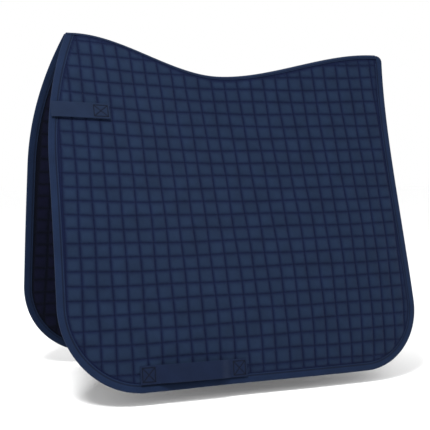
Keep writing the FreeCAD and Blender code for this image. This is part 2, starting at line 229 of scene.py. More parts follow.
class SaddlePadColours(bpy.types.PropertyGroup):
    """Colours of the pad's cloths, threads and studio."""

    cover: colour("Cover", "Crown of the cotton cover", "#101A2B")
    # painted shade: the cover's colour down in the quilted grooves, darker where shade falls between
    # the squares
    cover_seam_shade: colour("Cover seams", "Cotton cover down in the seams", "#050A1F")
    # dark navy lining, deepened further as painted shade for the shaded inside face of the tent
    lining: colour("Lining", "Cotton lining", "#070817")
    # painted shade: the lining's colour down in the quilted grooves, darker where shade falls between
    # the squares
    lining_seam_shade: colour("Lining seams", "Cotton lining down in the seams", "#03040B")
    binding: colour("Binding", "Edge binding and spine tape", "#0C1629")
    # painted shade: the binding's colour along its stitch line, darker as shade in the dent
    binding_seam: colour("Binding seams", "Edge binding pressed down by its stitches", "#050815")
    webbing: colour("Webbing", "Front straps", "#0E1728")
    # painted shade: the strap's webbing painted darker for the girth loops
    loop: colour("Loops", "Girth loops", "#0A1224")
    # painted shade: the webbing's colour in the dents along its stitches
    webbing_seam_shade: colour("Webbing seams", "Webbing pressed down by its stitches", "#040712")
    thread: colour("Thread", "Sewing thread", "#070B1A")
    thread_shade: colour("Thread shade", "Sewing thread between its twists", "#04060E")
    touch_tape: colour("Touch tape", "Hook and loop tape", "#0B1020")
    foam: colour("Foam", "Quilting foam", "#E8E4D8")
    # painted shade: the foam's colour down in its cells, where the pits lie in shade
    foam_cell_shade: colour("Foam cells", "Quilting foam down in its cells", "#C9C2B0")
    bloom: colour("Bloom", "Fibres that catch the light", "#8FA3CC")
    floor: colour("Floor", "Studio floor", "#FEFEFE")


def sizes():
    """The scene's sizes of the pad."""
    return bpy.context.scene.saddle_pad_sizes


def colours():
    """The scene's colours of the pad."""
    return bpy.context.scene.saddle_pad_colours


def linear(hex_value):
    """An sRGB hex value as linear red, green, blue and an alpha of one."""
    channels = [int(hex_value[i:i + 2], 16) / 255 for i in (1, 3, 5)]
    return [c / 12.92 if c <= 0.04045 else ((c + 0.055) / 1.055) ** 2.4 for c in channels] + [1.0]


# ---------------------------------------------------------------- the pad's shape

def smooth_step(share):
    """Zero up to 0, one from 1, and 3 s squared minus 2 s cubed between them."""
    s = np.clip(share, 0.0, 1.0)
    return s * s * (3 - 2 * s)


def quarter_round(share):
    """Zero up to 0 and one from 1, along a quarter ellipse between them."""
    return np.sqrt(1 - (1 - np.clip(share, 0, 1)) ** 2)


def bell(distance, width):
    """One at no distance, falling off as the exponential of minus the square of the
    distance over the width."""
    return np.exp(-((distance / width) ** 2))


def end_crowded(count):
    """Shares from 0 to 1 that crowd at both ends: half of one minus the cosine."""
    return 0.5 - 0.5 * np.cos(np.linspace(0, math.pi, count))


def ridge_height(x):
    """Height of the ridge: a smooth step to the wither in front and to the croup behind."""
    s = sizes()
    front = s.wither_rise * smooth_step(-x / s.wither_run)
    rear = s.croup_rise * smooth_step(x / s.croup_run)
    return np.where(x < 0, front, rear)


def half_width(x, z):
    """Half width of the tent at the lining face: at each of three levels a parabola through
    the front, saddle and croup widths, and down the side a cubic through the ridge and them.
    Below the fold, a product of sines and a slanting sine add the slow waves of hanging
    cloth, whose wavelengths are two pi times the lengths that x and z are divided by."""
    s = sizes()
    share = x / -FLAP_LOW.x
    down = (ridge_height(x) - z) / s.level_step
    upper, middle, lower = (
        saddle + share * (croup - front) / 2 + share**2 * ((front + croup) / 2 - saddle)
        for front, saddle, croup in zip(s.front_widths, s.saddle_widths, s.croup_widths)
    )
    top = s.ridge_gap
    waves = np.sin(x / 0.049 + 1.3) * np.sin(z / 0.083) + 0.6 * np.sin(x / 0.081 - z / 0.045)
    return (
        top
        + down * (upper - top)
        + down * (down - 1) / 2 * (middle - 2 * upper + top)
        + down * (down - 1) * (down - 2) / 6 * (lower - 3 * middle + 3 * upper - top)
        + s.swell * waves * smooth_step((-z - WAVES_START) / WAVES_GROWTH)
    )


def pad_points(side, x, z, offset):
    """Points of one side, offset outwards from its lining face, as an array of x, y, z."""
    y = SIDES[side] * (half_width(x, z) + offset)
    return np.stack(np.broadcast_arrays(x, y, z), axis=-1)


def outward(side, x, z):
    """Unit normals that leave a side outwards: minus its slopes along x and z, and one out."""
    step = MM
    slope_x = (half_width(x + step, z) - half_width(x - step, z)) / (2 * step)
    slope_z = (half_width(x, z + step) - half_width(x, z - step)) / (2 * step)
    normal = np.stack(np.broadcast_arrays(-slope_x, SIDES[side], -slope_z), axis=-1)
    return normal / np.linalg.norm(normal, axis=-1, keepdims=True)


def corner_centres():
    """Centres in the side view of the bottom front, bottom rear and top rear corners."""
    s = sizes()
    return (
        (FLAP_LOW.x + s.front_corner, FLAP_LOW.z + s.front_corner),
        (FLAP_HIGH.x - s.rear_corner, FLAP_LOW.z + s.rear_corner),
        (FLAP_HIGH.x - s.rear_taper - s.ridge_corner, s.croup_rise - s.ridge_corner),
    )


def edge_distance(x, z):
    """Distance inside the three free edges: the least of the distances from the front bow or
    line, the bottom line, the leaning rear line and, in the corners, the corner circles."""
    s = sizes()
    front = x - FLAP_LOW.x
    bow = s.bow_radius - np.hypot(x - FLAP_LOW.x - s.bow_radius, z + s.bow_start)
    front = np.where(z > -s.bow_start, bow, front)
    bottom = z - FLAP_LOW.z
    centres = corner_centres()
    rear_foot, rear_top = centres[1][1], centres[2][1]
    # the lean runs on a little above the corner's centre
    lean = np.clip((z - rear_foot) / (rear_top - rear_foot), 0, 1.2) * s.rear_taper
    rear = FLAP_HIGH.x - lean - x
    least = np.minimum(np.minimum(front, rear), bottom)
    radii = (s.front_corner, s.rear_corner, s.ridge_corner)
    quarters = ((-1, -1), (1, -1), (1, 1))
    for (centre, level), radius, (across, up) in zip(centres, radii, quarters):
        curve = radius - np.hypot(x - centre, z - level)
        beside = ((x - centre) * across > 0) & ((z - level) * up > 0)
        least = np.where(beside, np.minimum(least, curve), least)
    return least


def outline_path(step):
    """The free edges from the wither down, along the bottom and up to the croup, as points
    (x, z), unit directions along and inwards, and the deepest inset each allows: a bow, lines
    and corner arcs, with points a step apart. An inset stops half a millimetre short of an
    arc's centre."""
    s = sizes()
    bow_centre = (FLAP_LOW.x + s.bow_radius, -s.bow_start)
    bow_angle = math.asin((s.wither_rise + s.bow_start) / s.bow_radius)
    front_centre, rear_centre, top_centre = corner_centres()
    parts = []

    def arc(centre, radius, start, end, last=False):
        count = max(int(abs(end - start) * radius / step), 8)
        turn = np.linspace(start, end, count + 1)[: None if last else -1]
        out = np.stack([np.cos(turn), np.sin(turn)], axis=-1)
        along = np.stack([-out[:, 1], out[:, 0]], axis=-1)
        limit = np.full(len(turn), radius - 0.5 * MM)
        parts.append((np.array(centre) + radius * out, along, -out, limit))

    def line(start, end):
        start, end = np.array(start), np.array(end)
        run = np.linalg.norm(end - start)
        share = np.linspace(0, 1, max(int(run / step), 2) + 1)[:-1, None]
        along = np.tile((end - start) / run, (len(share), 1))
        inward = np.stack([-along[:, 1], along[:, 0]], axis=-1)
        parts.append((start + (end - start) * share, along, inward, np.full(len(share), NO_LIMIT)))

    arc(bow_centre, s.bow_radius, math.pi - bow_angle, math.pi)
    line((FLAP_LOW.x, -s.bow_start), (FLAP_LOW.x, front_centre[1]))
    arc(front_centre, s.front_corner, math.pi, 1.5 * math.pi)
    line((front_centre[0], FLAP_LOW.z), (rear_centre[0], FLAP_LOW.z))
    arc(rear_centre, s.rear_corner, -0.5 * math.pi, 0.0)
    line((FLAP_HIGH.x, rear_centre[1]), (FLAP_HIGH.x - s.rear_taper, top_centre[1]))
    arc(top_centre, s.ridge_corner, 0.0, 0.5 * math.pi, last=True)
    return tuple(np.concatenate(part) for part in zip(*parts))


def check_shape():
    """Raises if the shape formula leaves the frame's cover by more than the waves allow."""
    s = sizes()
    for node in ("near_cover_yoke", "near_cover_flap"):
        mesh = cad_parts[node].data
        spots = np.empty(len(mesh.vertices) * 3, np.float32)
        mesh.vertices.foreach_get("co", spots)
        x, y, z = spots.reshape(-1, 3).T
        offset = -y - half_width(x, z)
        slack = 2 * s.swell
        if offset.min() < COVER_INSIDE - slack or offset.max() > COVER_OUTSIDE + slack:
            raise RuntimeError(f"{node} is off the shape: {offset.min()} to {offset.max()}")


# ---------------------------------------------------------------- meshes

def new_piece(name, points, faces, weave, material, **values):
    """A closed mesh object from points, faces and flat weave coordinates in metres, with any
    further values kept on its points. Faces are turned outwards if their volume is negative."""
    fan = np.concatenate([faces[:, [0, i, i + 1]] for i in range(1, faces.shape[1] - 1)])
    a, b, c = (points[fan[:, i]] for i in range(3))
    if np.einsum("ij,ij->", a, np.cross(b, c)) < 0:
        faces = faces[:, ::-1]
    mesh = bpy.data.meshes.new(name)
    mesh.vertices.add(len(points))
    mesh.vertices.foreach_set("co", points.astype(np.float32).ravel())
    mesh.loops.add(faces.size)
    mesh.loops.foreach_set("vertex_index", faces.ravel().astype(np.int32))
    mesh.polygons.add(len(faces))
    starts = np.arange(0, faces.size, faces.shape[1], dtype=np.int32)
    mesh.polygons.foreach_set("loop_start", starts)
    mesh.update(calc_edges=True)
    uv = mesh.uv_layers.new(name="Weave")
    flat = weave[faces.ravel()] / WEAVE_UNIT
    uv.data.foreach_set("uv", flat.astype(np.float32).ravel())
    for key, value in values.items():
        attribute = mesh.attributes.new(key, "FLOAT", "POINT")
        attribute.data.foreach_set("value", value.astype(np.float32).ravel())
    if mesh.validate():
        raise RuntimeError(f"{name} had faulty faces")
    mesh.polygons.foreach_set("use_smooth", np.ones(len(faces), bool))
    mesh.materials.append(material)
    piece = bpy.data.objects.new(name, mesh)
    bpy.context.scene.collection.objects.link(piece)
    return piece


def grid_faces(rows, columns):
    """Quads of a grid of points stored row by row."""
    index = np.arange(rows * columns).reshape(rows, columns)
    quads = [index[:-1, :-1], index[1:, :-1], index[1:, 1:], index[:-1, 1:]]
    return np.stack([q.ravel() for q in quads], axis=-1)


def lone_edges(faces):
    """The directed edges that only one face has: the border of a skin."""
    starts, ends = faces.ravel(), np.roll(faces, -1, axis=1).ravel()
    span = faces.max() + 1
    lone = ~np.isin(starts * span + ends, ends * span + starts)
    return starts[lone], ends[lone]


def two_skins(name, shown, hidden, faces, weave, material, **values):
    """A closed piece between two skins with the same faces, joined by quads at the border."""
    count = len(shown)
    starts, ends = lone_edges(faces)
    rim = np.stack([ends, starts, starts + count, ends + count], axis=-1)
    every = np.concatenate([faces, faces[:, ::-1] + count, rim])
    both = {key: np.concatenate([value.ravel()] * 2) for key, value in values.items()}
    points = np.concatenate([shown, hidden])
    return new_piece(name, points, every, np.concatenate([weave, weave]), material, **both)


def strip_piece(name, shown, hidden, weave, material, **values):
    """A closed strip from two grids of points (stations, across, 3)."""
    faces = grid_faces(*shown.shape[:2])
    flat = [part.reshape(-1, part.shape[-1]) for part in (shown, hidden, weave)]
    return two_skins(name, flat[0], flat[1], faces, flat[2], material, **values)


def run_length(points):
    """Distance run along the first axis of a grid of points, starting at zero."""
    steps = np.linalg.norm(np.diff(points, axis=0), axis=-1)
    return np.concatenate([np.zeros((1, *steps.shape[1:])), np.cumsum(steps, axis=0)])


def stitches(name, starts, ends, out, width, material, rings=1):
    """Thread, one closed four-sided grain for each stitch from a start to an end: its radius
    is a half circle's share of the width, and it dips into the cloth by the square of the
    share."""
    along = ends - starts
    centre = (starts + ends) / 2
    sideways = np.cross(out, along)
    sideways /= np.linalg.norm(sideways, axis=-1, keepdims=True)
    share = np.linspace(-1, 1, rings + 2)
    turn = np.arange(4) * (math.pi / 2)
    radius = width / 2 * np.sqrt(1 - share**2)[:, None]
    spots = (
        (centre[:, None] + along[:, None] * share[:, None] / 2)[:, :, None]
        + out[:, None, None] * (radius * np.sin(turn) - (width / 2 * share**2)[:, None])[..., None]
        + sideways[:, None, None] * (radius * np.cos(turn))[..., None]
    )
    tips, body = spots[:, [0, -1], 0], spots[:, 1:-1]
    each = np.concatenate([body.reshape(len(spots), -1, 3), tips], axis=1)
    ring = np.arange(4)
    following = np.roll(ring, -1)
    last = 4 * (rings - 1)
    first_tip, last_tip = np.full(4, 4 * rings), np.full(4, 4 * rings + 1)
    faces = [np.stack([first_tip, following, ring], axis=-1),
             np.stack([last_tip, ring + last, following + last], axis=-1)]
    for row in range(rings - 1):
        low, high = ring + 4 * row, following + 4 * row
        faces += [np.stack([low, high, high + 4], axis=-1),
                  np.stack([low, high + 4, low + 4], axis=-1)]
    faces = np.concatenate(faces)
    every = (faces[None] + np.arange(len(spots))[:, None, None] * each.shape[1]).reshape(-1, 3)
    points = each.reshape(-1, 3)
    return new_piece(name, points, every, points[:, [0, 2]], material)


def settle(piece, replaced=(), body=None, fold=None):
    """Hides the frame's nodes that a finished piece stands for, bakes its place into its mesh when a
    side is given, and ties it to the body it moves with.
    """
    if replaced:
        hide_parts(*replaced)
    if fold:
        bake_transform(piece)
    if body:
        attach(piece, body)
    return piece


# ---------------------------------------------------------------- quilting

def seam_points(across, up):
    """Side view place of lattice coordinates: whole numbers are seams. The cloth was pulled
    while it was sewn, so the lattice is drawn by a cubic in both directions, and each seam
    strays a little, by a slow sine along it whose phase differs from seam to seam."""
    s = sizes()
    x = FLAP_LOW.x + s.first_column + across * s.column_pitch
    z = FLAP_LOW.z + s.first_row + up * s.row_pitch
    powers = [(i, j) for i in range(4) for j in range(4 - i)]
    wide, high = x / DRAWN_REACH[0], (z - DRAWN_REACH[2]) / DRAWN_REACH[1]
    shape = [wide**i * high**j for i, j in powers]
    x, z = (
        place + sum(term * pull * MM for term, pull in zip(shape, pulls))
        for place, pulls in ((x, DRAWN_ALONG), (z, DRAWN_UP))
    )
    x = x + s.wander * np.sin(up * 0.9 + 2.1 * np.sin(across * 1.7))
    z = z + s.wander * np.sin(across * 0.8 + 2.4 * np.sin(up * 1.3))
    return x, z


def ticks(first, last, divisions):
    """Lattice coordinates between two seams' numbers, drawn closer together beside the seams
    by a sine."""
    crowding = 0.08
    share = np.arange(first * divisions, last * divisions + 1) / divisions
    return share - crowding * np.sin(2 * math.pi * share)


def lattice_size():
    """Numbers of the last column's and the last row's seam."""
    s = sizes()
    columns = int((FLAP_HIGH.x - FLAP_LOW.x - s.first_column) / s.column_pitch) + 1
    rows = int((CAD_HIGH.z - FLAP_LOW.z - s.first_row) / s.row_pitch) + 1
    return columns, rows


def quilt_grid(divisions, inset):
    """The side's mesh in the side view: a grid whose lines fall on the seams, trimmed to the
    outline, with its border points moved onto the outline along the steepest way.
    Returns x, z, the faces and each point's lattice coordinates."""
    columns, rows = lattice_size()
    across, up = np.meshgrid(
        ticks(-2, columns + 1, divisions), ticks(-2, rows + 1, divisions)
    )
    faces = grid_faces(*across.shape)
    across, up = across.ravel(), up.ravel()
    x, z = seam_points(across, up)

    def inside(at_x, at_z):
        return np.minimum(edge_distance(at_x, at_z), ridge_height(at_x) - at_z) - inset

    faces = faces[inside(x[faces].mean(1), z[faces].mean(1)) > 0]
    used = np.unique(faces)
    renumber = np.full(len(x), -1)
    renumber[used] = np.arange(len(used))
    faces, x, z, across, up = renumber[faces], x[used], z[used], across[used], up[used]
    border = np.unique(lone_edges(faces)[0])
    nudge = 0.01 * MM
    for _ in range(6):
        at_x, at_z = x[border], z[border]
        here = inside(at_x, at_z)
        slope_x = (inside(at_x + nudge, at_z) - here) / nudge
        slope_z = (inside(at_x, at_z + nudge) - here) / nudge
        steep = slope_x**2 + slope_z**2
        x[border] = at_x - here * slope_x / steep
        z[border] = at_z - here * slope_z / steep
    return x, z, faces, across, up


def bulge(place, power):
    """Height from seam to seam of a stuffed square: one minus the fourth power of the distance
    from its middle, raised to a power."""
    return (1 - np.abs(2 * (place % 1.0) - 1) ** 4) ** power


def pillow(across, up):
    """Height of a stuffed square from 0 at its seams to 1: the product of two bulges."""
    return bulge(across, BULGE_ACROSS) * bulge(up, BULGE_UP)


def spine_reach(x):
    """How far the spine tape comes down at a station: its drop, widening towards the rear."""
    s = sizes()
    share = (x - FLAP_LOW.x) / (FLAP_HIGH.x - FLAP_LOW.x)
    return s.spine_drop + s.spine_widening * smooth_step(share)


def room(x, z):
    """Zero under the binding and the spine tape, and one from a few millimetres beside them."""
    beside = 4 * MM
    from_binding = edge_distance(x, z) - sizes().binding_width - 0.5 * MM
    from_tape = ridge_height(x) - z - spine_reach(x) - MM
    return smooth_step(np.minimum(from_binding, from_tape) / beside)


def with_row_lift(squares, across):
    """Raises the rows' seams, which are drawn in less than the columns' seams: between two
    columns the cloth keeps a share of its height there."""
    return squares + sizes().row_lift * bulge(across, BULGE_ACROSS) * (1 - squares)


def blown_up(x, z, faces, across, up, free):
    """Height share of the squares, by cloth simulation: the side lies flat, is held along
    every seam and under the tapes, has a little spare cloth and is blown up from below. The
    tallest half per cent of its points count as full height."""
    s = sizes()
    first_rise, on_seam, full_height = 0.8 * MM, 1e-6, 99.5
    start = first_rise * pillow(across, up) * free
    flat = np.stack([x, z, start], axis=-1) * s.sim_scale
    mesh = bpy.data.meshes.new("quilting_cloth")
    mesh.from_pydata(flat.tolist(), [], faces[:, ::-1].tolist())
    cloth = bpy.data.objects.new("quilting_cloth", mesh)
    bpy.context.scene.collection.objects.link(cloth)
    off_seam = np.minimum(np.abs(across - np.round(across)), np.abs(up - np.round(up)))
    held = np.flatnonzero((off_seam < on_seam) | (free <= 0))
    cloth.vertex_groups.new(name="held").add(held.tolist(), 1.0, "REPLACE")
    modifier = cloth.modifiers.new("cloth", "CLOTH")
    modifier.collision_settings.use_collision = False
    fabric = modifier.settings
    fabric.vertex_group_mass = "held"
    fabric.use_pressure = True
    fabric.uniform_pressure_force = s.sim_pressure
    fabric.shrink_min = -s.sim_slack
    fabric.bending_stiffness = s.sim_bending
    fabric.air_damping = 2.0
    fabric.effector_weights.gravity = 0.0
    for frame_number in range(1, SIM_FRAMES + 1):
        bpy.context.scene.frame_set(frame_number)
    done = cloth.evaluated_get(bpy.context.evaluated_depsgraph_get()).data
    spots = np.empty(len(x) * 3, np.float32)
    done.vertices.foreach_get("co", spots)
    bpy.data.objects.remove(cloth)
    bpy.data.meshes.remove(mesh)
    bpy.context.scene.frame_set(1)
    height = spots[2::3] / s.sim_scale
    if not SIM_LOWEST < height.max() < SIM_HIGHEST:
        raise RuntimeError(f"the simulated squares are {height.max()} m high")
    return np.clip(height / np.percentile(height, full_height), 0, 1) ** s.fullness


@functools.cache
def quilted_panel():
    """A side's grid and the height share of its squares, simulated as cloth."""
    x, z, faces, across, up = quilt_grid(sizes().divisions, sizes().panel_edge)
    free = room(x, z)
    squares = blown_up(x, z, faces, across, up, free)
    return x, z, faces, with_row_lift(squares, across) * free


def quilted_layer(side, name, over, under, material):
    """A closed layer of a side between two heights over the foam's middle, which are given
    for the height share of the squares."""
    middle = sizes().panel_middle
    x, z, faces, squares = quilted_panel()
    low = z - sizes().sag * squares
    shown = pad_points(side, x, low, middle + over(squares))
    hidden = pad_points(side, x, low, middle + under(squares))
    weave = np.stack([x, z], axis=-1)
    # painted shade: the squares' height share is kept as the crown attribute, which darkens the cloth
    # towards its seams
    return two_skins(f"{side}_{name}", shown, hidden, faces, weave, material, crown=squares)


def crown_way(layer):
    """A cloth's crown over the foam's middle, and 1 if it faces outwards or -1 if inwards."""
    s = sizes()
    return (s.cover_crown, 1) if layer == "cover" else (s.lining_crown, -1)


def quilted_cloth(side, layer, material):
    """The cover or the lining of a side: from its seams its cloth rises over the middle of
    the foam to the crown of each square."""
    s = sizes()
    crown, sign = crown_way(layer)

    def shown(squares):
        return sign * (s.seam_rise + (crown - s.seam_rise) * squares)

    def hidden(squares):
        return shown(squares) - sign * s.cloth

    piece = quilted_layer(side, layer, shown, hidden, material)
    nodes = (f"{side}_{layer}_yoke", f"{side}_{layer}_flap")
    return settle(piece, nodes, fold=side)


def foam_sheet(side, material):
    """The foam of a side: it fills the room between the two cloths, less a hair at the seams
    and a small share of the height at the crowns."""
    s = sizes()
    seam, filled = s.seam_rise - s.cloth - HAIR, 0.97

    def over(squares):
        return seam + (s.cover_crown - s.seam_rise) * squares * filled

    def under(squares):
        return -seam - (s.lining_crown - s.seam_rise) * squares * filled

    piece = quilted_layer(side, "foam", over, under, material)
    nodes = (f"{side}_foam_yoke", f"{side}_foam_flap")
    return settle(piece, nodes, fold=side)


def quilting_thread(side, layer, material):
    """The stitches of every seam of a cloth, a stitch and a gap apart, that lie clear of the
    binding and the spine tape. Neighbouring seams start at other shares of a stitch."""
    s = sizes()
    shift_share = 0.37
    columns, rows = lattice_size()
    starts, ends = [], []
    for seams, cells, pitch, swap in (
        (columns, rows, s.row_pitch, False), (rows, columns, s.column_pitch, True)
    ):
        step = (s.stitch + s.stitch_gap) / pitch
        seam, first = np.meshgrid(np.arange(-2, seams + 2), np.arange(-2, cells + 1, step))
        seam, first = seam.ravel(), (first + shift_share * step * (seam % 3)).ravel()
        for places, shift in ((starts, 0.0), (ends, s.stitch / pitch)):
            across, up = (first + shift, seam) if swap else (seam, first + shift)
            lift = with_row_lift(0.0, across)
            places.append(np.stack([*seam_points(across, up), lift], axis=-1))
    starts, ends = np.concatenate(starts), np.concatenate(ends)
    clear = np.ones(len(starts), bool)
    for x, z, _ in (starts.T, ends.T):
        clear &= edge_distance(x, z) > s.binding_width + 0.3 * MM
        clear &= ridge_height(x) - z > spine_reach(x) + 0.5 * MM
    crown, sign = crown_way(layer)
    run = []
    for x, z, lift in (starts[clear].T, ends[clear].T):
        rise = s.seam_rise + (crown - s.seam_rise) * lift * room(x, z) + s.thread * THREAD_PROUD
        run.append(pad_points(side, x, z, s.panel_middle + sign * rise))
    out = sign * outward(side, *starts[clear, :2].T)
    piece = stitches(f"{side}_{layer}_quilting", *run, out, s.thread, material)
    return settle(piece, fold=side)


# ---------------------------------------------------------------- binding and tapes

def binding_height(inset, run):
    """Half thickness of the bound edge at an inset: a quarter ellipse at the fold, a soft
    roll, a dip at the stitches and a lip, with a slight pucker along the run, the product of
    two sines."""
    s = sizes()
    fold_reach, dip_width, roll_start, roll_length = 3 * MM, 1.5 * MM, 6 * MM, 7 * MM
    roll_depth, dip_depth, pucker_depth = 0.6 * MM, 0.55 * MM, 0.1 * MM
    fold = quarter_round(inset / fold_reach)
    dip = bell(inset - s.binding_seam, dip_width)
    roll = smooth_step((inset - roll_start) / roll_length)
    pucker = np.sin(run / (1.9 * MM)) * np.sin(run / (6.1 * MM) + 1)
    return fold * (
        s.binding_half - roll_depth * roll - dip_depth * dip + pucker_depth * pucker * dip
    )


def bound_edge(side, places, along, inward, limit, inset, height):
    """Points at an inset and a height on the bound edge. At the wither the binding's end is
    sheared so that it runs along the ridge."""
    s = sizes()
    sheared = 40 * MM
    from_peak = np.linalg.norm(places - places[0], axis=-1)[:, None]
    slope = inward[0, 1] / inward[0, 0]
    lean = -inset * slope * (1 - smooth_step(from_peak / sheared))
    depth = np.minimum(inset, limit[:, None])
    x = places[:, :1] + inward[:, :1] * depth - along[:, :1] * lean
    z = places[:, 1:] + inward[:, 1:] * depth - along[:, 1:] * lean
    return pad_points(side, x, z, s.panel_middle + height)


def edge_binding(side, material):
    """The binding of a side: a profile from its inner lip round the fold to the outer lip,
    carried along the free edges, and the same profile a tape's thickness inside it. Its points
    crowd at the fold by a power, and it thins to a share of the tape at the lips."""
    s = sizes()
    step, stations, crowding, lip_share, press_width = 3 * MM, 29, 1.6, 0.35, 1.2 * MM
    places, along, inward, limit = outline_path(step)
    run = run_length(places)[:, None]
    turn = np.linspace(-1, 1, stations)
    inset = s.binding_width * np.abs(turn) ** crowding
    face = np.sign(turn)
    thick = s.tape * np.minimum(1, lip_share + (1 - np.abs(turn)) * 12)
    height = face * binding_height(inset, run)
    path = (side, places, along, inward, limit)
    shown = bound_edge(*path, inset, height)
    hidden = bound_edge(*path, np.maximum(inset, s.tape), height - face * thick)
    weave = np.stack(np.broadcast_arrays(run, inset * face), axis=-1)
    # painted shade: the binding darkens along its stitch line, where the dent lies in shade
    painted_stitch_shade = 1 - 0.9 * bell(inset - s.binding_seam, press_width) + 0 * run
    piece = strip_piece(f"{side}_binding", shown, hidden, weave, material, crown=painted_stitch_shade)
    nodes = (f"{side}_binding_yoke", f"{side}_binding_flap")
    return settle(piece, nodes, fold=side)


def binding_thread(side, material):
    """The binding's stitches on both faces of the edge."""
    s = sizes()
    places, along, inward, limit = outline_path(s.stitch + s.stitch_gap)
    gap = s.stitch_gap / (s.stitch + s.stitch_gap)
    inset = np.array([[s.binding_seam]])
    lift = binding_height(inset, 0.0) + s.thread * THREAD_PROUD
    normal = outward(side, *places.T)[:-1]
    starts, ends, out = [], [], []
    for face in (1, -1):
        line = bound_edge(side, places, along, inward, limit, inset, face * lift)[:, 0]
        starts.append(line[:-1])
        ends.append(line[:-1] + (line[1:] - line[:-1]) * (1 - gap))
        out.append(face * normal)
    run = [np.concatenate(part) for part in (starts, ends, out)]
    long_enough = np.linalg.norm(run[1] - run[0], axis=-1) > MM
    piece = stitches(f"{side}_binding_thread", *(r[long_enough] for r in run), s.thread, material)
    return settle(piece, fold=side)


def ridge_band(name, front, rear, drop, top, reach, material):
    """A tape over both sides of the ridge: at each station an arch whose top is a half ellipse and
    whose legs follow the sides. Reach gives the legs' offset at a station. Along a line just inside
    its lower edges it is darkened with painted shade, standing for the dent of its stitches."""
    s = sizes()
    step, stations, crowding, round_off = 3 * MM, 33, 1.5, 4.5 * MM
    press_inset, press_width = 2 * MM, MM
    x = np.linspace(front, rear, int((rear - front) / step) + 1)[:, None]
    turn = np.linspace(-1, 1, stations)
    long = drop(x) + top + 0 * x
    down = long * np.abs(turn) ** crowding
    skins = []
    for thin in (0.0, s.tape):
        arch = quarter_round(down / round_off)
        z = ridge_height(x) + top - thin * (1 - np.abs(turn)) ** 0.5 - down
        leg = half_width(x, np.minimum(z, ridge_height(x))) + reach(x) - thin
        skins.append(np.stack(np.broadcast_arrays(x, np.sign(turn) * leg * arch, z), axis=-1))
    weave = np.stack(np.broadcast_arrays(x, down * np.sign(turn)), axis=-1)
    # painted shade: the tape darkens along a line just inside its lower edges, standing for a
    # stitched dent
    painted_stitch_shade = 1 - 0.8 * bell(long - down - press_inset, press_width)
    return strip_piece(name, *skins, weave, material, crown=painted_stitch_shade)


def spine_tape():
    """The tape over the spine seam: its legs lie on the cover, and at both ends, by a smooth
    step, on the binding."""
    s = sizes()
    low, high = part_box("spine_tape")
    over_binding = s.panel_middle + s.binding_half + s.tape + CLEAR_BINDING
    over_cover = s.panel_middle + s.seam_rise + s.tape + CLEAR_COVER

    def over(x):
        nearest = np.minimum(x - low.x, high.x - x)
        share = 1 - smooth_step((nearest - BINDING_LENGTH) / STEP_LENGTH)
        return over_cover + (over_binding - over_cover) * share

    tape = ridge_band(
        "spine_binding", low.x, high.x, spine_reach, TAPE_TOP, over, binding_tape()
    )
    settle(tape, ("spine_tape",), body="spine")


def spine_lining_tape():
    """The tape under the spine seam, which covers its raw edges."""
    s = sizes()
    low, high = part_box("spine_lining_tape")
    under = s.panel_middle - s.seam_rise - HAIR
    inner = ridge_band(
        "spine_inner_tape", low.x, high.x, lambda x: s.lining_drop, LINING_TAPE_TOP,
        lambda x: under, binding_tape(),
    )
    settle(inner, ("spine_lining_tape",), body="spine")


# ---------------------------------------------------------------- webbing

def seat(front, rear, low, high, fall):
    """Where a flat piece lies on the near cover: its corner, unit directions along it, up the
    slope and outwards, and the lift at which the whole piece clears the curved cover. Its rear
    end lies lower by the fall."""
    over_cover = 0.3 * MM

    def cover(x, z):
        return pad_points("near", np.asarray(x, float), np.asarray(z, float), COVER_OUTSIDE)

    def unit(v):
        return v / np.linalg.norm(v)

    corner = cover(front, low)
    along = unit(cover(rear, low - fall) - corner)
    up = unit(cover(front, high) - corner)
    out = unit(np.cross(along, up))
    up = unit(np.cross(out, along))
    back, rise = np.meshgrid(np.linspace(0, 1, 7), np.linspace(0, 1, 7))
    spots = cover(front + (rear - front) * back, low - fall * back + (high - low) * rise)
    return corner, along, up, out, ((spots - corner) @ out).max() + over_cover


def on_seat(side, base, along_by, up_by, out_by):
    """Points along, up and out on a seat, mirrored for the off side."""
    corner, along, up, out, lift = base
    terms = np.broadcast_arrays(along_by, up_by, out_by + lift)
    points = corner + sum(t[..., None] * way for t, way in zip(terms, (along, up, out)))
    return points * [1, -SIDES[side], 1]


def strap_seat():
    """The seat of the front strap, its long edges level but for its fall."""
    s = sizes()
    high = -s.strap_depth + s.strap_width * math.cos(math.radians(STRAP_SLOPE))
    front = -s.strap_rear - s.strap_length
    return seat(front, -s.strap_rear, -s.strap_depth, high, s.strap_fall)


def loop_seat():
    """The seat of the girth loop."""
    s = sizes()
    high = -s.loop_depth + s.loop_width * math.cos(math.radians(LOOP_SLOPE))
    rear = -s.loop_front + s.loop_length
    return seat(-s.loop_front, rear, -s.loop_depth, high, s.loop_fall)


def box_lines(middle, half_length, width):
    """The sewn box with a cross in it: start and end of its six lines on the webbing."""
    s = sizes()
    reach, low, high = half_length - s.box_inset, s.box_inset, width - s.box_inset
    a, b = middle - reach, middle + reach
    corners = [((a, low), (b, low)), ((b, low), (b, high)), ((b, high), (a, high)),
               ((a, high), (a, low)), ((a, low), (b, high)), ((a, high), (b, low))]
    return np.array(corners)


def line_distance(along, up, lines):
    """Distance of each point from the nearest of the lines."""
    nearest = np.full(np.broadcast(along, up).shape, NO_LIMIT)
    for start, end in lines:
        way = end - start
        share = ((along - start[0]) * way[0] + (up - start[1]) * way[1]) / (way @ way)
        share = np.clip(share, 0, 1)
        gap = np.hypot(along - start[0] - share * way[0], up - start[1] - share * way[1])
        nearest = np.minimum(nearest, gap)
    return nearest


